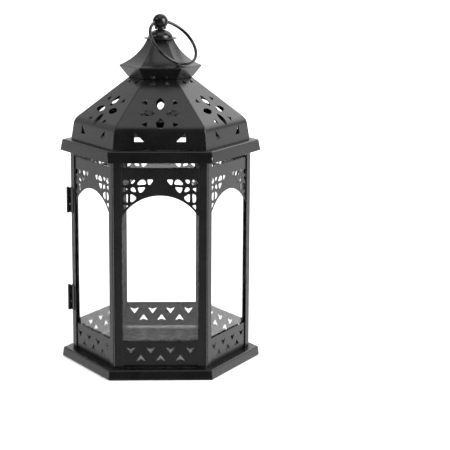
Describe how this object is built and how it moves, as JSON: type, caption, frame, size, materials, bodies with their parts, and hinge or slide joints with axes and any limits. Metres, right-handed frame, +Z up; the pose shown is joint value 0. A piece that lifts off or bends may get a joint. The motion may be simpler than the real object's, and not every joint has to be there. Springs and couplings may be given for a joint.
{
  "type": "hexagonal pierced metal candle lantern",
  "caption": "Free-standing hexagonal pierced-metal candle lantern with arched glass windows, a hinged door and a swinging ring handle.",
  "frame": {"origin": "on the floor plane, under the middle of the base and of the bounding box", "axes": "+Z up through the finial; -Y out of the front face; the door is on the face whose normal is 150 degrees round +Z from +X, hinged on the -X corner"},
  "size_m": [0.257, 0.2226, 0.4429],
  "materials": {
    "body_paint": "satin black paint",
    "roof_paint": "semi-gloss black paint",
    "hardware_paint": "semi-gloss black paint",
    "window_glass": "clear float glass"
  },
  "bodies": {
    "root": {"base_tray": "body_paint", "cap": "roof_paint", "cap_collar": "roof_paint", "cornice_ring": "body_paint", "finial_ball": "roof_paint", "finial_disc": "roof_paint", "finial_dome": "roof_paint", "finial_stud": "hardware_paint", "glass_back": "window_glass", "glass_frame_back": "hardware_paint", "glass_frame_front": "hardware_paint", "glass_frame_left_front": "hardware_paint", "glass_frame_right_back": "hardware_paint", "glass_frame_right_front": "hardware_paint", "glass_front": "window_glass", "glass_left_front": "window_glass", "glass_right_back": "window_glass", "glass_right_front": "window_glass", "hinge_lower_pin": "hardware_paint", "hinge_lower_post_leaf": "hardware_paint", "hinge_upper_pin": "hardware_paint", "hinge_upper_post_leaf": "hardware_paint", "latch_keeper": "hardware_paint", "post_back_left": "body_paint", "post_back_right": "body_paint", "post_front_left": "body_paint", "post_front_right": "body_paint", "post_left": "body_paint", "post_right": "body_paint", "roof": "roof_paint", "sill_back": "body_paint", "sill_front": "body_paint", "sill_left_front": "body_paint", "sill_right_back": "body_paint", "sill_right_front": "body_paint", "spandrel_back": "body_paint", "spandrel_front": "body_paint", "spandrel_left_front": "body_paint", "spandrel_right_back": "body_paint", "spandrel_right_front": "body_paint", "stud_nut": "hardware_paint"},
    "door": {"door_panel": "body_paint", "door_glass": "window_glass", "door_glass_frame": "hardware_paint", "hinge_lower_door_leaf": "hardware_paint", "hinge_upper_door_leaf": "hardware_paint", "latch_bracket": "hardware_paint"},
    "latch": {"latch_loop": "hardware_paint"},
    "ring": {"ring_handle": "hardware_paint"}
  },
  "joints": [
    {"name": "door_swing", "type": "hinge", "parent": "root", "child": "door", "pos_m": [-0.11823, 0.0013, 0.138], "axis": [0, 0, 1], "range_deg": [0, 225]},
    {"name": "latch_swing", "type": "hinge", "parent": "door", "child": "latch", "pos_m": [-0.06797, 0.09005, 0.138], "axis": [0, 0, 1], "range_deg": [0, 170]},
    {"name": "ring_swing", "type": "hinge", "parent": "root", "child": "ring", "pos_m": [0, 0, 0.4332], "axis": [-0.6884, -0.7254, 0], "range_deg": [0, 274]}
  ]
}
